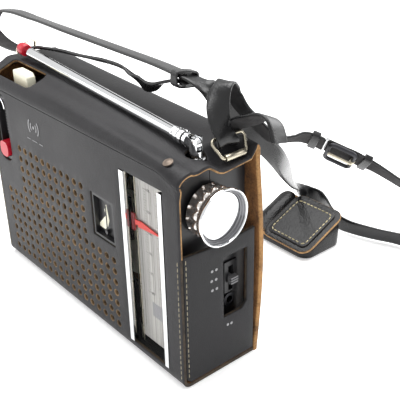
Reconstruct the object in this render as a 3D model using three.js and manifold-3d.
// Portable AM/FM transistor radio in its stitched leather carrying case, with shoulder strap,
// buckle, two strap rings and a small earphone pouch. Millimetres, +Z up.
// Origin: centre of the case's bottom face. +X to the right seen from the front, front faces -Y.
import * as THREE from 'three';
import { mergeVertices } from 'three/addons/utils/BufferGeometryUtils.js';
import Module from 'manifold-3d';

const wasm = await Module();
wasm.setup();

// ---------------------------------------------------------------- driving dimensions
const CASE = { halfW: 95, halfD: 26.5, creaseZ: 126, leather: 2.2, backLeather: 3, bottomR: 5 };
const GAP = 0.3;                       // air left between pieces that touch
const RADIO = { x0: -91, x1: 87, y0: -23.9, y1: 23.1, z0: 2.6, z1: 120.5, wall: 2.4, cornerR: 5 };
const GRILLE = { x0: -81, z0: 11, pitchX: 6.94, pitchZ: 7, cols: 18, rows: 12, holeR: 1.5 };
const GRILLE_SHORT = { fromRow: 7, firstCol: 3, lastCol: 13 };   // upper rows are shorter
const DIAL = { x0: 48.4, x1: 83.2, z0: 7, z1: 112 };
const SCALE_PLATE = { x0: 56.2, x1: 79.6, z0: 12.5, z1: 111, y: -22.5, t: 0.8 };
const POINTER = { restZ: 83.2, x1: 74.9, railX: 52.5, railR: 0.8, railY: -19.4 };
const METER = { x0: 18.6, x1: 39.8, z0: 62, z1: 88.5, yFront: -25.8, depth: 12, faceInset: 2.9 };
const VOLUME = { x0: -87.5, x1: -71.8, z0: 74, z1: 117.5 };
const SPEAKER = { x: -21, z: 49.5, r: 38, depth: 9, magnetR: 16, magnetT: 13 };
const KNOB = { y: -3.5, z: 97, x0: 88.6, x1: 102, rimR: 15.3, bodyR: 14, flutes: 14 };
const SWITCH = { y: 12.5, z: 50, travel: 5 };
const JACK = { y: 11.2, z: 37, boreR: 2.1, nutR: 4 };
const DRUM = { x: 27, z: 60, r: 24.2, y0: -9.5, y1: -5.5 };
const PULLEY = { x: 52, r: 3, z0: 13, z1: 111 };
const BUTTON = { x0: -69.3, x1: -52.5, y0: -19.6, y1: -13.8, top: 135 };
const ANTENNA = {
  x: 82.5, y: -4.5, pivotZ: 129.5, tilt: 4 * Math.PI / 180,
  outerR: [3.0, 2.3, 1.6, 0.9], wall: 0.5, length: 149, start: 7.5,
};
const RING = { wireR: 0.85, height: 10, baseHalf: 8.4, topHalf: 10.2, corner: 2.2 };
const CLIP_HALF = 6.2;
const BAR_RIGHT = [92, 11.8, 122];
const BAR_LEFT = [-104, 8.7, 127.5];
const LEFT_YAW = 0.5;
const STRAP = { width: 11.4, thick: 1.8 };
const KEEPER = { x0: 47, x1: 52, y0: 8, y1: 24.6, z0: 143.6, z1: 154.2, wall: 1.2 };
const BUCKLE = { at: [119.8, 57.2, 119.2], along: [0.78, 0.51, -0.36], across: [0.63, -0.33, 0.71],
  halfL: 6.5, halfW: 7.6, lift: 2.6, corner: 2.2, wireR: 0.8 };
const POUCH = { x: 24, y: 131.5, length: 55, depth: 37, frontZ: 5, backZ: 21, wall: 1.8 };
const POUCH_FLAP = { x0: -14, x1: 28.5, front: 20.5, t: 2 };
const CELL = { r: 7.2, length: 50, pitch: 15.4, count: 3, x0: -84, y: 12.6, z0: 16 };

const COLOR = {
  leather: '#2c2b2c', suede: '#a9793f', plastic: '#1d1d1f', chrome: '#d8dadc', brass: '#c9bd98',
  silver: '#b9b7b2', cream: '#f4efd8', red: '#c02030', pointer: '#e26a5e', board: '#8a6a35',
  ferrite: '#2b2422', copper: '#b06a3a', zinc: '#9aa0a4', paper: '#3a3430', clear: '#dfe6e8',
};

const group = new THREE.Group();

// ---------------------------------------------------------------- helpers
// A closed three.js geometry as a solid that can be cut and joined.
function solid(geometry) {
  const bare = geometry.clone();
  bare.deleteAttribute('normal');
  bare.deleteAttribute('uv');
  const merged = mergeVertices(bare, 1e-4);
  const positions = new Float32Array(merged.attributes.position.array);
  const triangles = new Uint32Array(merged.index.array);
  return new wasm.Manifold(new wasm.Mesh({ numProp: 3, vertProperties: positions, triVerts: triangles }));
}

// A solid back as a three.js geometry.
function geometryOf(manifold) {
  const mesh = manifold.getMesh();
  const geometry = new THREE.BufferGeometry();
  geometry.setAttribute('position', new THREE.BufferAttribute(new Float32Array(mesh.vertProperties), 3));
  geometry.setIndex(new THREE.BufferAttribute(new Uint32Array(mesh.triVerts), 1));
  geometry.computeVertexNormals();
  return geometry;
}

function add(name, shape, color, roughness = 0.6, metalness = 0) {
  const geometry = shape.isBufferGeometry ? shape : geometryOf(shape);
  const material = new THREE.MeshStandardMaterial({ color, roughness, metalness });
  const mesh = new THREE.Mesh(geometry, material);
  mesh.name = name;
  group.add(mesh);
  return mesh;
}

function union(...solids) {
  return solids.reduce((sum, piece) => sum.add(piece));
}

function box(x0, x1, y0, y1, z0, z1) {
  const geometry = new THREE.BoxGeometry(x1 - x0, y1 - y0, z1 - z0);
  geometry.translate((x0 + x1) / 2, (y0 + y1) / 2, (z0 + z1) / 2);
  return solid(geometry);
}

// Turns a geometry built along +Z so that it runs along the named axis.
function alongAxis(geometry, axis) {
  if (axis === 'X') geometry.rotateY(Math.PI / 2);
  if (axis === 'Y') geometry.rotateX(-Math.PI / 2);
  return geometry;
}

// A profile of [radius, height] pairs turned about an axis through a point.
function turned(profile, axis, at, sides = 24) {
  const points = profile.map(([r, h]) => new THREE.Vector2(r, h));
  const geometry = new THREE.LatheGeometry(points, sides);
  geometry.rotateX(Math.PI / 2);
  alongAxis(geometry, axis);
  geometry.translate(at[0], at[1], at[2]);
  return solid(geometry);
}

function rod(axis, r, h0, h1, at, sides = 24) {
  return turned([[0, h0], [r, h0], [r, h1], [0, h1]], axis, at, sides);
}

function sleeve(axis, rOut, rIn, h0, h1, at, sides = 24) {
  return turned([[rIn, h0], [rOut, h0], [rOut, h1], [rIn, h1], [rIn, h0]], axis, at, sides);
}

function polygon(points) {
  return new THREE.Shape(points.map(([a, b]) => new THREE.Vector2(a, b)));
}

function roundedRect(a0, a1, b0, b1, r) {
  const shape = new THREE.Shape();
  shape.moveTo(a0 + r, b0);
  shape.lineTo(a1 - r, b0);
  shape.absarc(a1 - r, b0 + r, r, -Math.PI / 2, 0);
  shape.lineTo(a1, b1 - r);
  shape.absarc(a1 - r, b1 - r, r, 0, Math.PI / 2);
  shape.lineTo(a0 + r, b1);
  shape.absarc(a0 + r, b1 - r, r, Math.PI / 2, Math.PI);
  shape.lineTo(a0, b0 + r);
  shape.absarc(a0 + r, b0 + r, r, Math.PI, Math.PI * 1.5);
  return shape;
}

// An outline in the X-Z plane made solid from y0 to y1.
function plateXZ(shape, y0, y1, curveSegments = 4) {
  const geometry = new THREE.ExtrudeGeometry(shape, { depth: y1 - y0, bevelEnabled: false, curveSegments });
  geometry.rotateX(Math.PI / 2);
  geometry.translate(0, y1, 0);
  return solid(geometry);
}

// An outline in the Y-Z plane made solid from x0 to x1.
function plateYZ(shape, x0, x1, curveSegments = 4) {
  const geometry = new THREE.ExtrudeGeometry(shape, { depth: x1 - x0, bevelEnabled: false, curveSegments });
  geometry.rotateY(Math.PI / 2);
  geometry.rotateX(Math.PI / 2);
  geometry.translate(x0, 0, 0);
  return solid(geometry);
}

// An outline in the X-Y plane made solid from z0 to z1.
function plateXY(shape, z0, z1, curveSegments = 4) {
  const geometry = new THREE.ExtrudeGeometry(shape, { depth: z1 - z0, bevelEnabled: false, curveSegments });
  geometry.translate(0, 0, z0);
  return solid(geometry);
}

// Skins a list of equal cross-sections (each a closed loop of points) and closes both ends.
function loft(sections) {
  const count = sections[0].length;
  const positions = sections.flat().flatMap((p) => [p.x, p.y, p.z]);
  const index = [];
  for (let s = 0; s + 1 < sections.length; s += 1) {
    for (let k = 0; k < count; k += 1) {
      const a = s * count + k;
      const b = s * count + ((k + 1) % count);
      index.push(a, b, b + count, a, b + count, a + count);
    }
  }
  // Each section is a sheet outline: its first half outer side, its second half inner side.
  const lastStart = (sections.length - 1) * count;
  for (let k = 0; k < count / 2 - 1; k += 1) {
    const outer = k;
    const inner = count - 1 - k;
    index.push(outer, inner, inner - 1, outer, inner - 1, outer + 1);
    index.push(lastStart + outer, lastStart + outer + 1, lastStart + inner - 1);
    index.push(lastStart + outer, lastStart + inner - 1, lastStart + inner);
  }
  const geometry = new THREE.BufferGeometry();
  geometry.setAttribute('position', new THREE.Float32BufferAttribute(positions, 3));
  geometry.setIndex(index);
  const made = solid(geometry);
  if (made.volume() > 0) return made;
  geometry.setIndex(index.map((_, i) => index[i - (i % 3) + 2 - (i % 3)]));
  return solid(geometry);
}

// A flat strap swept through route points. Each entry is [x, y, z, wx, wy, wz]:
// a point on the middle line and the direction of the strap's width there.
function strap(route, steps, width = STRAP.width, thick = STRAP.thick) {
  const line = new THREE.CatmullRomCurve3(route.map(([x, y, z]) => new THREE.Vector3(x, y, z)));
  const aim = new THREE.CatmullRomCurve3(route.map(([, , , x, y, z]) => new THREE.Vector3(x, y, z)));
  const sections = [];
  for (let i = 0; i <= steps; i += 1) {
    const t = i / steps;
    const centre = line.getPoint(t);
    const tangent = line.getTangent(t);
    const across = aim.getPoint(t);
    across.addScaledVector(tangent, -across.dot(tangent)).normalize();
    const up = new THREE.Vector3().crossVectors(tangent, across);
    const half = across.clone().multiplyScalar(width / 2);
    const rise = up.multiplyScalar(thick / 2);
    const corner = (a, b) => centre.clone().addScaledVector(half, a).addScaledVector(rise, b);
    sections.push([corner(-1, 1), corner(1, 1), corner(1, -1), corner(-1, -1)]);
  }
  return loft(sections);
}

// A closed wire loop lying in one plane.
function wireLoop(points, normal, r, sides = 8) {
  const count = points.length;
  const positions = [];
  for (let i = 0; i < count; i += 1) {
    const tangent = points[(i + 1) % count].clone().sub(points[(i + count - 1) % count]).normalize();
    const side = new THREE.Vector3().crossVectors(normal, tangent);
    for (let k = 0; k < sides; k += 1) {
      const angle = 2 * Math.PI * k / sides;
      const point = points[i].clone().addScaledVector(side, r * Math.cos(angle));
      point.addScaledVector(normal, r * Math.sin(angle));
      positions.push(point.x, point.y, point.z);
    }
  }
  const index = [];
  for (let i = 0; i < count; i += 1) {
    for (let k = 0; k < sides; k += 1) {
      const a = i * sides + k;
      const b = i * sides + ((k + 1) % sides);
      const c = ((i + 1) % count) * sides + ((k + 1) % sides);
      const d = ((i + 1) % count) * sides + k;
      index.push(a, b, c, a, c, d);
    }
  }
  const geometry = new THREE.BufferGeometry();
  geometry.setAttribute('position', new THREE.Float32BufferAttribute(positions, 3));
  geometry.setIndex(index);
  const made = solid(geometry);
  if (made.volume() > 0) return made;
  geometry.setIndex(index.map((_, i) => index[i - (i % 3) + 2 - (i % 3)]));
  return solid(geometry);
}

// ---------------------------------------------------------------- leather case
function frontPanel() {
  const { halfW, halfD, leather: t, bottomR: r } = CASE;
  const top = CASE.creaseZ - t - 2 * GAP;
  const back = halfD - CASE.backLeather - GAP;
  const outline = [[-halfD, top]];
  for (let k = 0; k <= 4; k += 1) {
    const a = Math.PI + (Math.PI / 2) * (k / 4);
    outline.push([-halfD + r + r * Math.cos(a), r + r * Math.sin(a)]);
  }
  outline.push([back, 0], [back, t]);
  for (let k = 4; k >= 0; k -= 1) {
    const a = Math.PI + (Math.PI / 2) * (k / 4);
    outline.push([-halfD + r + (r - t) * Math.cos(a), r + (r - t) * Math.sin(a)]);
  }
  outline.push([-halfD + t, top]);
  let panel = plateYZ(polygon(outline), -halfW, halfW);
  const y0 = -halfD - 1;
  const y1 = -halfD + t + 1;
  const holes = [];
  for (let row = 0; row < GRILLE.rows; row += 1) {
    for (let col = 0; col < GRILLE.cols; col += 1) {
      const short = row >= GRILLE_SHORT.fromRow;
      if (short && (col < GRILLE_SHORT.firstCol || col > GRILLE_SHORT.lastCol)) continue;
      const x = GRILLE.x0 + col * GRILLE.pitchX;
      const z = GRILLE.z0 + row * GRILLE.pitchZ;
      holes.push(rod('Y', GRILLE.holeR, y0, y1, [x, 0, z], 6));
    }
  }
  holes.push(box(DIAL.x0, DIAL.x1, y0, y1, DIAL.z0, DIAL.z1));
  holes.push(box(METER.x0, METER.x1, y0, y1, METER.z0, METER.z1));
  holes.push(plateXZ(roundedRect(VOLUME.x0, VOLUME.x1, VOLUME.z0, VOLUME.z1, 6.8), y0, y1));
  panel = panel.subtract(wasm.Manifold.union(holes));
  return panel;
}
add('case_front', frontPanel(), COLOR.leather, 0.55);

// The strap ring's clip pulls the top sheet's right edge down.
function ringPull(x, y) {
  const ramp = THREE.MathUtils.smoothstep(y, -8, 3) - THREE.MathUtils.smoothstep(y, 20.4, 24);
  return 6.4 * THREE.MathUtils.smoothstep(x, 78, 91.5) * ramp;
}

// Height of the top sheet's outer side over the case: soft leather, higher at the left end.
function topHeight(x, y) {
  const front = CASE.creaseZ;
  const middle = 132.1 - 0.0627 * x - 0.000314 * x * x;
  const back = 130.2 - 0.042 * x;
  const valley = -1.4 * Math.exp(-(((y + 15) / 4) ** 2)) - ringPull(x, y);
  if (y < -8) {
    const t = (y + CASE.halfD) / (CASE.halfD - 8);
    return front + (middle - front) * Math.sin(t * Math.PI / 2) + valley;
  }
  const t = (y + 8) / 28;
  return middle + (back - middle) * t + valley;
}

// How far the loose back sheet swells outwards, most at its open right edge.
function backSwell(x, z) {
  const towardsEdge = Math.max(0, (x - 20) / 75);
  return 3.6 * towardsEdge ** 2 * Math.max(0, Math.sin(Math.PI * z / 115));
}

// Top and back are one sheet: over the top, round the rear edge and down the back.
function topAndBack() {
  const { halfW, halfD, leather: t, backLeather: tb } = CASE;
  const sections = [];
  for (const x of [-halfW, -70, -45, -20, 5, 30, 55, 75, 82, 88.5, halfW]) {
    const outer = [];
    const inner = [];
    for (const y of [-halfD, -23, -19, -15, -11, -7, -2, 4, 11, 17, 20.6]) {
      const z = topHeight(x, y);
      outer.push(new THREE.Vector3(x, y, z));
      inner.push(new THREE.Vector3(x, y, z - t));
    }
    const edgeR = 3.4;
    const edgeY = halfD - edgeR;
    const edgeZ = topHeight(x, edgeY) - edgeR;
    for (const a of [90, 60, 30, 0]) {
      const c = Math.cos(a * Math.PI / 180);
      const s = Math.sin(a * Math.PI / 180);
      outer.push(new THREE.Vector3(x, edgeY + edgeR * c, edgeZ + edgeR * s));
      inner.push(new THREE.Vector3(x, edgeY + (edgeR - tb) * c, edgeZ + (edgeR - t) * s));
    }
    for (const z of [95, 72, 48, 24, GAP]) {
      const y = halfD + backSwell(x, z);
      outer.push(new THREE.Vector3(x, y, z));
      inner.push(new THREE.Vector3(x, y - tb, z));
    }
    sections.push([...outer, ...inner.reverse()]);
  }
  const sheet = loft(sections);
  const buttonCut = plateXY(roundedRect(-86, -46, -23.5, -8.6, 4), 110, 150);
  const antennaCut = rod('Z', 6.2, 110, 150, [ANTENNA.x, ANTENNA.y, 0], 20);
  return sheet.subtract(buttonCut).subtract(antennaCut);
}
add('case_top_and_back', topAndBack(), COLOR.leather, 0.55);

// End panels are pockets stitched into the case; the right one is low to clear the knob.
function endPanel(x0, x1, sideZ, middleZ) {
  const y0 = -CASE.halfD + CASE.leather + GAP;
  const y1 = CASE.halfD - CASE.backLeather - GAP;
  const bottom = CASE.leather + GAP;
  const corner = CASE.bottomR - CASE.leather;
  const shape = new THREE.Shape();
  shape.moveTo(y0, bottom + corner);
  shape.lineTo(y0 + corner, bottom);
  shape.lineTo(y1, bottom);
  shape.lineTo(y1, sideZ);
  shape.quadraticCurveTo((y0 + y1) / 2, 2 * middleZ - sideZ, y0, sideZ);
  return plateYZ(shape, x0, x1, 8);
}
{
  const outer = CASE.halfW;
  const inner = CASE.halfW - CASE.leather;
  const window = polygon([[1.5, 33], [14.4, 33], [17.9, 36.5], [17.9, 69.6], [1.5, 69.6]]);
  const windowCut = plateYZ(window, inner - 1, outer + 1);
  add('case_end_right', endPanel(inner, outer, 80, 78.5).subtract(windowCut), COLOR.leather, 0.55);
  add('case_end_left', endPanel(-outer, -inner, 122, 126.5), COLOR.leather, 0.55);
}

// Press stud that holds the top sheet to the front, beside the antenna.
{
  const x = 83;
  const y = -22.3;
  const z = topHeight(x, y) + 2 * GAP;
  const profile = [[0, z], [3.2, z], [3.2, z + 0.3], [2.2, z + 0.8], [0, z + 1]];
  add('top_press_stud', turned(profile, 'Z', [x, y, 0], 16), COLOR.brass, 0.3, 1);
}

// ---------------------------------------------------------------- cabinet
function shellXZ(y0, y1, floorFirst) {
  const { x0, x1, z0, z1, wall, cornerR: r } = RADIO;
  const outer = plateXZ(roundedRect(x0, x1, z0, z1, r), y0, y1);
  const inside = roundedRect(x0 + wall, x1 - wall, z0 + wall, z1 - wall, r - wall);
  const cavity = floorFirst ? plateXZ(inside, y0 + wall, y1 + 1) : plateXZ(inside, y0 - 1, y1 - wall);
  return outer.subtract(cavity);
}
{
  let front = shellXZ(RADIO.y0, -GAP / 2, true);
  const y0 = RADIO.y0 - 1;
  const y1 = RADIO.y0 + RADIO.wall + 1;
  const cuts = [
    rod('Y', SPEAKER.r - 3, y0, y1, [SPEAKER.x, 0, SPEAKER.z], 32),
    box(DIAL.x0 - 0.6, DIAL.x1 + 0.6, y0, y1, DIAL.z0 - 0.6, DIAL.z1 + 0.6),
    box(METER.x0, METER.x1, y0, y1, METER.z0, METER.z1),
    box(VOLUME.x0 + 0.4, VOLUME.x1 - 0.4, y0, y1, VOLUME.z0 + 0.4, VOLUME.z1 - 0.4),
    rod('X', 3.4, RADIO.x1 - 4, RADIO.x1 + 1, [0, KNOB.y, KNOB.z], 20),
    box(BUTTON.x0 - 0.5, BUTTON.x1 + 0.5, BUTTON.y0 - 0.5, BUTTON.y1 + 0.5, RADIO.z1 - 4, RADIO.z1 + 1),
  ];
  // The lower front edge is chamfered to clear the case's rounded corner.
  const edge = RADIO.wall + 1;
  const low = RADIO.z0 - 1;
  const corner = polygon([[y0, low], [y0 + edge + 1, low], [y0, RADIO.z0 + edge]]);
  cuts.push(plateYZ(corner, -CASE.halfW, CASE.halfW));
  front = front.subtract(wasm.Manifold.union(cuts));
  add('front_cabinet', front, COLOR.plastic, 0.4);

  let rear = shellXZ(GAP / 2, RADIO.y1, false);
  rear = rear.subtract(rod('X', 2.9, RADIO.x1 - 4, RADIO.x1 + 1, [0, JACK.y, JACK.z], 20));
  const slotHalf = SWITCH.travel + 2.4;
  rear = rear.subtract(box(RADIO.x1 - 4, RADIO.x1 + 1, SWITCH.y - 1.6, SWITCH.y + 1.6,
    SWITCH.z - slotHalf, SWITCH.z + slotHalf));
  add('rear_cabinet', rear, COLOR.plastic, 0.4);
}

// ---------------------------------------------------------------- tuning dial
add('dial_trim_left', box(DIAL.x0 + 0.2, DIAL.x0 + 3.6, -26.9, -24.6, DIAL.z0 + 0.3, DIAL.z1 - 0.3),
  COLOR.chrome, 0.15, 1);
add('dial_trim_right', box(DIAL.x1 - 3.3, DIAL.x1 - 0.2, -26.9, -24.6, DIAL.z0 + 0.3, DIAL.z1 - 1.6),
  COLOR.chrome, 0.15, 1);
{
  const { x0, x1, z0, z1, y, t } = SCALE_PLATE;
  add('dial_scale_plate', box(x0, x1, y, y + t, z0, z1), COLOR.silver, 0.35, 0.6);
}
{
  const { railX, railY, railR, restZ, x1: needleX } = POINTER;
  const railLow = RADIO.z0 + RADIO.wall + GAP;
  const railHigh = RADIO.z1 - RADIO.wall - GAP;
  add('pointer_rail', rod('Z', railR, railLow, railHigh, [railX, railY, 0], 12), COLOR.chrome, 0.2, 1);
  const carriage = box(railX - 1.5, railX + 1.5, -23.9, -17.2, restZ - 6, restZ + 7)
    .subtract(rod('Z', railR + 0.3, restZ - 10, restZ + 10, [railX, railY, 0], 12));
  const taper = [[railX, restZ + 1], [railX, restZ - 1], [needleX, restZ - 0.4], [needleX, restZ + 0.4]];
  const needle = plateXZ(polygon(taper), -23.9, -23.2);
  add('dial_pointer', union(carriage, needle), COLOR.pointer, 0.4);
}
add('dial_window', box(DIAL.x0 + 3.9, DIAL.x1 - 3.6, -25.2, -24.5, DIAL.z0 + 0.3, DIAL.z1 - 0.3),
  COLOR.clear, 0.05);

// Drum, its shaft, tuning capacitor, cord and pulleys behind the dial.
{
  const { x, z, r, y0, y1 } = DRUM;
  const groove = 0.9;
  const profile = [
    [0, y0], [r + 1, y0], [r + 1, y0 + 1], [r - groove, y0 + 1.6], [r - groove, y1 - 1.6], [r + 1, y1 - 1],
    [r + 1, y1], [3, y1], [3, -2.6], [0, -2.6],
  ];
  add('tuning_drum', turned(profile, 'Y', [x, 0, z], 40), COLOR.cream, 0.5);
  add('tuning_capacitor', box(x - 12, x + 12, -2.2, 9.2, z - 11, z + 11), COLOR.zinc, 0.4, 0.5);
  const cordY = (y0 + y1) / 2;
  for (const [name, pz] of [['cord_pulley_upper', PULLEY.z1], ['cord_pulley_lower', PULLEY.z0]]) {
    const sheave = [[0, cordY - 2], [PULLEY.r + 1, cordY - 2], [PULLEY.r - 0.5, cordY - 0.5],
      [PULLEY.r - 0.5, cordY + 0.5], [PULLEY.r + 1, cordY + 2], [0, cordY + 2]];
    add(name, turned(sheave, 'Y', [PULLEY.x, 0, pz], 16), COLOR.cream, 0.5);
  }
  const cordR = 0.35;
  const points = [];
  const arc = (cx, cz, radius, a0, a1, n) => {
    for (let k = 0; k <= n; k += 1) {
      const a = (a0 + (a1 - a0) * k / n) * Math.PI / 180;
      points.push(new THREE.Vector3(cx + radius * Math.cos(a), cordY, cz + radius * Math.sin(a)));
    }
  };
  arc(PULLEY.x, PULLEY.z1, PULLEY.r + cordR, 0, 115, 5);
  arc(x, z, r + cordR, 115, 245, 12);
  arc(PULLEY.x, PULLEY.z0, PULLEY.r + cordR, 245, 360, 5);
  add('dial_cord', wireLoop(points, new THREE.Vector3(0, 1, 0), cordR, 6), COLOR.paper, 0.8);
}

// ---------------------------------------------------------------- tuning knob
{
  const { y, z, x0, x1, rimR, bodyR, flutes } = KNOB;
  const profile = [
    [2.2, x0], [bodyR - 1, x0], [bodyR, x0 + 1], [bodyR, x1 - 3.2], [rimR, x1 - 2.4], [rimR, x1 - 0.8],
    [rimR - 1, x1], [rimR - 2.4, x1], [10.6, x1 - 2.6], [10.6, x1 - 4.4], [2.2, x1 - 4.4], [2.2, x0],
  ];
  let body = turned(profile, 'X', [0, y, z], 42);
  const cutters = [];
  for (let k = 0; k < flutes; k += 1) {
    const a = 2 * Math.PI * k / flutes;
    const [fy, fz] = [y + (bodyR + 0.5) * Math.cos(a), z + (bodyR + 0.5) * Math.sin(a)];
    cutters.push(rod('X', 1.5, x0 - 1, x1 - 3.4, [0, fy, fz], 8));
  }
  body = body.subtract(wasm.Manifold.union(cutters));
  add('tuning_knob', body, COLOR.chrome, 0.12, 1);
  const [back, edge, front] = [x1 - 4.1, x1 - 2.6, x1 - 2.2];
  const disc = turned([[0, back], [10.3, back], [10.3, edge], [9.7, front], [0, front]], 'X', [0, y, z], 32);
  add('knob_face_disc', disc, COLOR.chrome, 0.1, 1);
  add('tuning_shaft', turned([[0, 66], [4, 66], [4, 70], [1.9, 70], [1.9, x1 - 4.7], [0, x1 - 4.7]],
    'X', [0, y, z], 16), COLOR.zinc, 0.3, 1);
}

// ---------------------------------------------------------------- tuning meter
{
  const { x0, x1, z0, z1, depth, yFront } = METER;
  const frame = box(x0 + GAP, x1 - GAP, yFront, yFront + depth, z0 + GAP, z1 - GAP);
  const pocket = box(x0 + 1.8, x1 - 1.8, yFront - 1, yFront + depth - 1.5, z0 + 1.8, z1 - 1.8);
  add('meter_housing', frame.subtract(pocket), COLOR.plastic, 0.4);
  const faceY = yFront + METER.faceInset;
  add('meter_face', box(x0 + 2.1, x1 - 2.1, faceY, faceY + 0.8, z0 + 2.1, z1 - 2.1), COLOR.cream, 0.5);
  const px = 29.2;
  const pz = z0 + 4.5;
  const needle = union(rod('Y', 1.3, faceY - 1.9, faceY - GAP, [px, 0, pz], 12),
    box(px - 0.3, px + 0.3, faceY - 1.5, faceY - 1.0, pz, pz + 16));
  add('meter_needle', needle, COLOR.red, 0.5);
}

// ---------------------------------------------------------------- volume slider
{
  const { x0, x1, z0, z1 } = VOLUME;
  const outer = plateXZ(roundedRect(x0 + 0.7, x1 - 0.7, z0 + 0.7, z1 - 0.7, 6), -25.2, -19.6);
  const slot = plateXZ(roundedRect(x0 + 2.4, x1 - 2.4, z0 + 2.4, z1 - 2.4, 4.4), -26, -21);
  const stemSlot = box((x0 + x1) / 2 - 1.3, (x0 + x1) / 2 + 1.3, -22, -19, z0 + 5, z1 - 5);
  add('volume_bezel', outer.subtract(slot).subtract(stemSlot), COLOR.plastic, 0.3);
  const cx = (x0 + x1) / 2;
  const thumb = union(
    plateXZ(roundedRect(x0 + 2.8, x1 - 2.8, z0 + 2.8, z0 + 13, 4), -27.6, -21.4),
    box(cx - 0.9, cx + 0.9, -21.8, -15.5, z0 + 6.6, z0 + 8.8),
  );
  add('volume_slider', thumb, COLOR.red, 0.2);
  add('volume_control', box(cx - 5, cx + 5, -15, -9, z0 + 2, z1 - 6), COLOR.zinc, 0.4, 0.4);
}

// ---------------------------------------------------------------- loudspeaker
{
  const { x, z, r, depth, magnetR, magnetT } = SPEAKER;
  const y0 = RADIO.y0 + RADIO.wall + GAP;
  const frame = [
    [r - 5, y0], [r, y0], [r, y0 + 1.2], [r - 3, y0 + 1.2], [magnetR + 1, y0 + depth], [9, y0 + depth],
    [9, y0 + depth - 1.2], [magnetR, y0 + depth - 1.2], [r - 5, y0 + 1.4], [r - 5, y0],
  ];
  add('speaker_frame', turned(frame, 'Y', [x, 0, z], 32), COLOR.zinc, 0.4, 0.8);
  const cone = [
    [0, y0 + 4.6], [6, y0 + 5.6], [8, y0 + 5.8], [r - 6, y0 + 0.2], [r - 5.4, y0 + 0.6],
    [8, y0 + 7.0], [0, y0 + 6.0],
  ];
  add('speaker_cone', turned(cone, 'Y', [x, 0, z], 32), COLOR.paper, 0.9);
  add('speaker_magnet', rod('Y', magnetR, y0 + depth + GAP, y0 + depth + magnetT, [x, 0, z], 24),
    COLOR.zinc, 0.5, 0.7);
}

// ---------------------------------------------------------------- electronics and cells
add('circuit_board', box(-1, 77, 10.4, 12, 8, 104), COLOR.board, 0.6);
add('ferrite_rod', rod('X', 4.6, -76, 46, [0, 9, 111.5], 16), COLOR.ferrite, 0.6);
add('ferrite_coil', sleeve('X', 6, 4.9, -30, -4, [0, 9, 111.5], 16), COLOR.copper, 0.4, 0.6);
{
  const { r, length, pitch, count, x0, y, z0 } = CELL;
  const bottom = z0 - r - 1.6;
  const top = z0 + (count - 1) * pitch + r + 1.6;
  const tray = box(x0 - 2, x0 + length + 3.6, y - r - 2, y + r - 3, bottom, top);
  const bays = [];
  for (let k = 0; k < count; k += 1) {
    const z = z0 + k * pitch;
    bays.push(box(x0 - 0.5, x0 + length + 2, y - r - 0.4, y + r + 1, z - r - 0.2, z + r + 0.2));
    const end = x0 + length;
    const cell = [[0, x0], [r, x0], [r, end - 1.4], [2.6, end - 1.4], [2.6, end], [0, end]];
    add(`battery_cell_${k + 1}`, turned(cell, 'X', [0, y, z], 18), COLOR.zinc, 0.35, 0.5);
  }
  add('battery_holder', tray.subtract(wasm.Manifold.union(bays)), COLOR.plastic, 0.5);
}

// ---------------------------------------------------------------- band switch and earphone jack
{
  const { y, z, travel } = SWITCH;
  const x = RADIO.x1 + GAP;
  const half = travel + 2.4;
  const plate = box(x, x + 0.9, y - 4.4, y + 4.4, z - half - 1.2, z + half + 3)
    .subtract(box(x - 1, x + 2, y - 1.6, y + 1.6, z - half, z + half));
  add('switch_plate', plate, COLOR.plastic, 0.35);
  const thumb = [];
  for (let k = -1; k <= 1; k += 1) {
    thumb.push(box(x + 2.8, x + 4.2, y - 2.6, y + 2.6, z + k * 1.5 - 0.45, z + k * 1.5 + 0.45));
  }
  const slider = union(box(x + 1.2, x + 3, y - 2.6, y + 2.6, z - 2.2, z + 2.2),
    box(x - 5, x + 1.4, y - 1.2, y + 1.2, z - 1.6, z + 1.6), ...thumb);
  add('band_switch', slider, COLOR.silver, 0.4, 0.4);
}
{
  const { y, z, boreR, nutR } = JACK;
  const x = RADIO.x1;
  const back = x - 9;
  const front = x + 1.6;
  const profile = [[boreR, back], [2.6, back], [2.6, x + GAP], [nutR, x + GAP], [nutR, front], [boreR, front],
    [boreR, back]];
  add('earphone_jack', turned(profile, 'X', [0, y, z], 24), COLOR.chrome, 0.2, 1);
}

// ---------------------------------------------------------------- dial light button
{
  const { x0, x1, y0, y1, top } = BUTTON;
  const foot = RADIO.z1 - RADIO.wall - GAP;
  const outline = [[x0, foot - 2], [x1, foot - 2], [x1, top - 2.4], [x1 - 2, top - 0.4], [x0 + 3, top],
    [x0, top - 1]];
  const key = plateXZ(polygon(outline), y0, y1);
  const flange = box(x0 - 1.5, x1 + 1.5, y0 - 0.9, y1 + 1.2, foot - 2.2, foot);
  add('dial_light_button', union(key, flange), COLOR.cream, 0.35);
}

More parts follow.
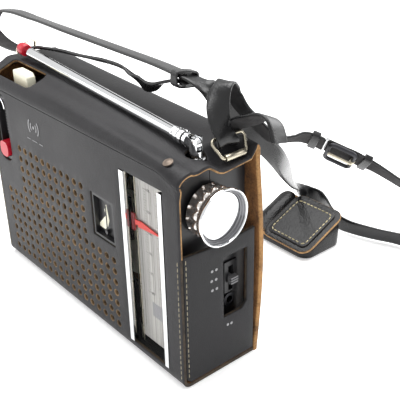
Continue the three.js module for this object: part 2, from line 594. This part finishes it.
// ---------------------------------------------------------------- telescopic antenna
{
  const { x, y, pivotZ } = ANTENNA;
  const foot = RADIO.z1 + GAP;
  const cupTop = pivotZ + 3.4;
  const flange = foot + 1.5;
  const cupProfile = [[0, foot], [4.6, foot], [4.6, flange], [3.3, flange], [3.3, cupTop], [0, cupTop]];
  const cup = turned(cupProfile, 'Z', [x, y, 0], 20);
  const fork = box(x - 5, x + 5, y - 1.75, y + 1.75, pivotZ - 3.3, pivotZ + 5);
  const pin = rod('Y', 0.9, -2.6, 2.6, [x, y, pivotZ], 12);
  add('antenna_turret', union(cup.subtract(fork), pin), COLOR.chrome, 0.12, 1);

  // Everything from here on is made along -X from the pivot and tilted with the folded antenna.
  const tilted = (piece) => {
    const geometry = geometryOf(piece);
    geometry.rotateY(ANTENNA.tilt);
    geometry.translate(x, y, pivotZ);
    return geometry;
  };
  const eye = union(rod('Y', 2.9, -1.45, 1.45, [0, 0, 0], 20), box(-7, 0, -1.45, 1.45, -2.4, 2.4))
    .subtract(rod('Y', 1.0, -2, 2, [0, 0, 0], 12));
  const block = union(eye, rod('X', 3.4, -7.1, -4.9, [0, 0, 0], 20));
  add('antenna_knuckle', tilted(block), COLOR.chrome, 0.12, 1);

  const end = -ANTENNA.start - ANTENNA.length;
  ANTENNA.outerR.forEach((r, k) => {
    const from = end - k * 1.2;
    const to = -ANTENNA.start - GAP - k * 3;
    const inner = k === ANTENNA.outerR.length - 1 ? 0 : r - ANTENNA.wall;
    let tube = inner > 0
      ? sleeve('X', r, inner, from, to, [0, 0, 0], 16)
      : rod('X', r, from, to, [0, 0, 0], 16);
    if (k === 0) {
      const collar = (c0, c1, outerR) => sleeve('X', outerR, r - 0.2, c0, c1, [0, 0, 0], 16);
      tube = union(tube, collar(to - 2.2, to, 3.9), collar(to - 5.6, to - 3.6, 3.6),
        collar(to - 8.8, to - 7.2, 3.2));
    }
    add(`antenna_section_${k + 1}`, tilted(tube), COLOR.chrome, 0.1, 1);
  });
  const tip = end - 4;
  const capProfile = [[0, tip - 8], [2.2, tip - 8], [3.6, tip - 6.4], [3.8, tip - 1.4], [3.4, tip], [0, tip]];
  add('antenna_tip', tilted(turned(capProfile, 'X', [0, 0, 0], 16)), COLOR.red, 0.4);
}

// ---------------------------------------------------------------- strap rings and their clips
// A rectangular wire ring with its lower bar in a folded clip on the case edge.
// It leans back by lean, and its bar is turned by yaw away from the case's depth direction.
function strapRing(bar, lean, yaw) {
  const { baseHalf, topHalf, height, corner, wireR } = RING;
  const along = new THREE.Vector3(-Math.sin(yaw), Math.cos(yaw), 0);
  const outward = new THREE.Vector3(Math.cos(yaw), Math.sin(yaw), 0);
  const up = outward.clone().multiplyScalar(-Math.sin(lean)).add(new THREE.Vector3(0, 0, Math.cos(lean)));
  const normal = new THREE.Vector3().crossVectors(along, up);
  const corners = [
    [baseHalf - corner, corner, -90], [topHalf - corner, height - corner, 0],
    [-topHalf + corner, height - corner, 90], [-baseHalf + corner, corner, 180],
  ];
  const points = [];
  for (const [a, h, start] of corners) {
    for (let k = 0; k <= 3; k += 1) {
      const angle = (start + 30 * k) * Math.PI / 180;
      const rise = h + corner * Math.sin(angle);
      const run = a + corner * Math.cos(angle);
      points.push(new THREE.Vector3(...bar).addScaledVector(along, run).addScaledVector(up, rise));
    }
  }
  return wireLoop(points, normal, wireR, 8);
}

// A sheet-metal sleeve round the ring's lower bar.
function ringSleeve(bar, yaw) {
  const geometry = geometryOf(sleeve('Y', 1.75, 1.15, -CLIP_HALF, CLIP_HALF, [0, 0, 0], 16));
  geometry.rotateZ(yaw);
  geometry.translate(...bar);
  return solid(geometry);
}
{
  // The right clip pinches the top sheet's edge from above and below.
  const [x, y, z] = BAR_RIGHT;
  const face = CASE.halfW + GAP;
  const plateTop = box(x, face + 0.8, y - CLIP_HALF, y + CLIP_HALF, z - 1.7, z - 1);
  const low = 114.2;
  const drop = box(face, face + 0.8, y - CLIP_HALF, y + CLIP_HALF, low, z - 1);
  const under = box(CASE.halfW - 5, face + 0.8, y - CLIP_HALF, y + CLIP_HALF, low, low + 0.8);
  add('ring_clip_right', union(ringSleeve(BAR_RIGHT, 0), plateTop, drop, under), COLOR.brass, 0.3, 1);
  add('strap_ring_right', strapRing(BAR_RIGHT, 0.6, 0), COLOR.brass, 0.25, 1);
}
{
  // The left clip is a tab under the top sheet with the sleeve just outside it.
  const [x, y, z] = BAR_LEFT;
  const edge = -CASE.halfW - 1;
  const half = 3.2;
  const under = box(edge, x + 20, y - half, y + half, z + 3.3, z + 4.1);
  const riser = box(edge - 0.8, edge, y - half, y + half, z + 1.3, z + 4.1);
  const arm = box(x - 0.6, edge, y - half, y + half, z + 1.3, z + 2.1);
  add('ring_clip_left', union(ringSleeve(BAR_LEFT, LEFT_YAW), arm, riser, under), COLOR.brass, 0.3, 1);
  add('strap_ring_left', strapRing(BAR_LEFT, 0, LEFT_YAW), COLOR.brass, 0.25, 1);
}

// ---------------------------------------------------------------- shoulder strap
// Long strap: tail held under the keeper, through the left ring, round past the left end,
// over the case, down behind it to the pouch, along the floor and up to the buckle.
const LONG_ROUTE = [
  [54, 17.4, 146.4, 0, 0.98, -0.2],
  [48, 16, 147.5, 0, 0.98, -0.2],
  [42, 13, 146.6, 0, 0.98, -0.1],
  [35, 10.4, 144.2, 0, 0.9, -0.1],
  [28, 9, 141.8, 0.2, 0.6, -0.6],
  [21, 9, 141.6, 0.6, 0.3, -0.6],
  [11, 9, 145.2, 0.6, 0.4, -0.5],
  [-2, 8.5, 146.6, 0.1, 0.8, -0.5],
  [-25, 8, 145, 0, 0.9, -0.44],
  [-55, 7.4, 142.6, 0, 0.9, -0.44],
  [-80, 6.6, 139.6, 0, 0.95, -0.3],
  [-95, 7, 136.5, 0, 1, -0.03],
  [-104, 7.2, 133.6, 0, 1, 0],
  [-117, 5.6, 132.8, 0, 0.98, -0.1],
  [-135, 4, 136.2, 0, 1, 0],
  [-150, 7, 141, 0, 1, 0],
  [-150, 12, 148.5, 0, 1, 0],
  [-132, 15, 152.4, 0, 1, -0.1],
  [-100, 16, 152.6, 0, 0.98, -0.2],
  [-60, 16, 152.4, 0, 0.98, -0.2],
  [-10, 16, 152.2, 0, 0.98, -0.2],
  [30, 16.5, 151.6, 0, 0.98, -0.2],
  [46, 16, 151, 0, 0.98, -0.2],
  [55, 18, 149.2, 0, 0.98, -0.2],
  [60.4, 21, 146, 0.1, 0.95, -0.2],
  [62.8, 27, 140.6, 0.2, 0.95, -0.1],
  [64.8, 36, 130, 0.3, 0.9, 0.1],
  [66.8, 42, 121.2, 0.3, 0.85, 0.3],
  [69.8, 48, 113.6, 0.2, 0.8, 0.55],
  [70.5, 55, 106.8, 0.15, 0.75, 0.65],
  [69.1, 64, 97.6, 0.1, 0.73, 0.68],
  [62.6, 77, 85, -0.1, 0.7, 0.7],
  [40, 108, 59.5, -0.5, 0.5, 0.65],
  [9.9, 145, 32, -0.8, 0.2, 0.5],
  [-6, 167, 14.4, -0.6, 0.2, 0.75],
  [-7, 177, 8, -0.2, 0.2, 0.95],
  [2, 181, 6.5, 0, 0.1, 1],
  [14, 176, 6.3, 0, 0, 1],
  [26, 168, 6.2, 0, 0, 1],
  [37, 163, 6.2, 0, 0, 1],
  [48, 163, 6.2, 0, -0.2, 0.97],
  [65, 168, 6.2, 0, -0.3, 0.95],
  [81, 174.5, 6.2, 0, -0.3, 0.95],
  [108, 180, 6.3, 0, -0.2, 0.97],
  [135, 173, 8, 0, -0.2, 0.97],
  [156, 152, 20, 0.2, -0.3, 0.9],
  [164, 126, 47, 0.4, -0.4, 0.8],
  [160, 104, 76, 0.6, -0.45, 0.65],
  [152, 87, 95, 0.68, -0.5, 0.56],
  [142.6, 75, 104.6, 0.68, -0.5, 0.53],
  [133, 66.6, 112.4, 0.66, -0.42, 0.6],
  [126.8, 61.8, 115.9, 0.63, -0.33, 0.71],
  [119.8, 57.2, 119.2, 0.63, -0.33, 0.71],
  [113.2, 52.9, 122.2, 0.63, -0.33, 0.71],
];
// Short strap: from the buckle through a loop up over the case, down through the right ring
// and back up under it, ending in a loose curl.
const SHORT_ROUTE = [
  [112.9, 51.4, 122.6, 0.63, -0.33, 0.71],
  [108.4, 49, 124.4, 0.6, -0.33, 0.73],
  [104.8, 44.5, 126, 0.62, -0.36, 0.7],
  [102.6, 38.5, 126, 0.68, -0.48, 0.56],
  [101, 34.5, 126.2, 0.68, -0.45, 0.58],
  [96.8, 32, 127.2, 0.63, -0.35, 0.7],
  [91, 31, 129.6, 0.62, -0.3, 0.7],
  [85.4, 30.2, 133, 0.6, -0.28, 0.75],
  [80, 29.6, 136.4, 0.7, -0.2, 0.6],
  [76, 28.6, 140.5, 0.85, 0, 0.3],
  [74, 27, 145.4, 0.97, 0.1, 0],
  [75.2, 24, 150.4, 0.98, 0, 0.1],
  [76.8, 20, 152.8, 0.98, 0, 0.1],
  [78.4, 16, 151.8, 0.93, 0.25, 0.15],
  [80.2, 12.2, 147.8, 0.75, 0.6, 0.15],
  [83.4, 9, 142.6, 0.45, 0.85, 0.1],
  [87, 7.4, 136.4, 0.1, 0.98, 0],
  [89.5, 8.2, 131.8, 0, 1, -0.1],
  [89.3, 10, 128.2, 0, 0.97, -0.2],
  [86.4, 12, 126.8, 0, 0.99, -0.12],
  [82.9, 13.8, 128.8, 0, 0.92, -0.35],
  [83.6, 16.8, 132.8, 0, 0.85, -0.5],
  [88, 19.2, 135.6, -0.05, 0.75, -0.65],
  [94.6, 20.6, 138.6, -0.1, 0.75, -0.6],
  [100, 21.4, 141.4, -0.1, 0.85, -0.5],
  [105, 21.6, 142, -0.1, 0.9, -0.4],
  [109.2, 21.2, 139.8, -0.1, 0.9, -0.3],
  [111.8, 20.4, 136.4, -0.1, 0.9, -0.2],
  [114, 19.6, 132.8, -0.1, 0.9, -0.2],
];

add('strap_long', strap(LONG_ROUTE, 120), COLOR.leather, 0.5);
add('strap_short', strap(SHORT_ROUTE, 64), COLOR.leather, 0.5);

// Leather keeper round the tail and the run above it.
function strapKeeper() {
  const { x0, x1, y0, y1, z0, z1, wall } = KEEPER;
  const outer = plateYZ(roundedRect(y0, y1, z0, z1, 1.2), x0, x1);
  const hole = roundedRect(y0 + wall, y1 - wall, z0 + wall, z1 - wall, 0.8);
  return outer.subtract(plateYZ(hole, x0 - 1, x1 + 1));
}
add('strap_keeper', strapKeeper(), COLOR.leather, 0.5);

// Buckle: a bent wire frame on the long strap's end with a prong that swings on its bar.
{
  const { halfL, halfW, lift, corner: r, wireR } = BUCKLE;
  const along = new THREE.Vector3(...BUCKLE.along).normalize();
  const across = new THREE.Vector3(...BUCKLE.across);
  across.addScaledVector(along, -across.dot(along)).normalize();
  const normal = new THREE.Vector3().crossVectors(along, across);
  const turn = new THREE.Matrix4().makeBasis(along, across, normal).setPosition(...BUCKLE.at);
  const placed = (piece) => {
    const geometry = geometryOf(piece);
    geometry.applyMatrix4(turn);
    return geometry;
  };
  const loopPoints = [];
  for (const [cx, cy, start] of [[halfL - r, -halfW + r, -90], [halfL - r, halfW - r, 0],
    [-halfL + r, halfW - r, 90], [-halfL + r, -halfW + r, 180]]) {
    for (let k = 0; k <= 3; k += 1) {
      const a = (start + 30 * k) * Math.PI / 180;
      loopPoints.push(new THREE.Vector3(cx + r * Math.cos(a), cy + r * Math.sin(a), lift));
    }
  }
  const frame = wireLoop(loopPoints, new THREE.Vector3(0, 0, 1), wireR, 8);
  add('buckle_frame', placed(frame), COLOR.brass, 0.3, 1);
  const prong = union(sleeve('Y', 1.4, 0.95, -1.4, 1.4, [halfL, 0, lift], 14),
    box(-halfL + 0.6, halfL, -0.8, 0.8, lift + 1, lift + 1.9));
  add('buckle_prong', placed(prong), COLOR.brass, 0.3, 1);
}

// ---------------------------------------------------------------- earphone pouch
// A wedge-shaped leather pouch lying on its back, with its flap closed over the sloping mouth.
{
  const { x, y, length, depth, frontZ, backZ, wall } = POUCH;
  const halfL = length / 2;
  const halfD = depth / 2;
  const slope = (backZ - frontZ) / depth;
  const mouthZ = (py) => frontZ + slope * (py + halfD);
  // The part of a rounded column that lies between two heights measured from the mouth's plane.
  const sloped = (x0, x1, y0, y1, r, below, above) => {
    const column = plateXY(roundedRect(x0, x1, y0, y1, r), GAP, backZ * 2);
    const [nearZ, farZ] = [mouthZ(y0 - 1), mouthZ(y1 + 1)];
    const slab = [[y0 - 1, nearZ + below], [y1 + 1, farZ + below], [y1 + 1, farZ + above],
      [y0 - 1, nearZ + above]];
    return column.intersect(plateYZ(polygon(slab), x0 - 1, x1 + 1));
  };
  const inside = roundedRect(-halfL + wall, halfL - wall, -halfD + wall, halfD - wall, 6);
  const body = sloped(-halfL, halfL, -halfD, halfD, 8, -backZ * 2, 0)
    .subtract(plateXY(inside, GAP + wall, backZ * 2));
  const { x0, x1, front, t } = POUCH_FLAP;
  const flap = sloped(x0, x1, -front, halfD, 7, GAP, GAP + t);
  for (const [name, piece] of [['pouch_body', body], ['pouch_flap', flap]]) {
    const geometry = geometryOf(piece);
    geometry.translate(x, y, 0);
    add(name, geometry, COLOR.leather, 0.55);
  }
}

export default group;
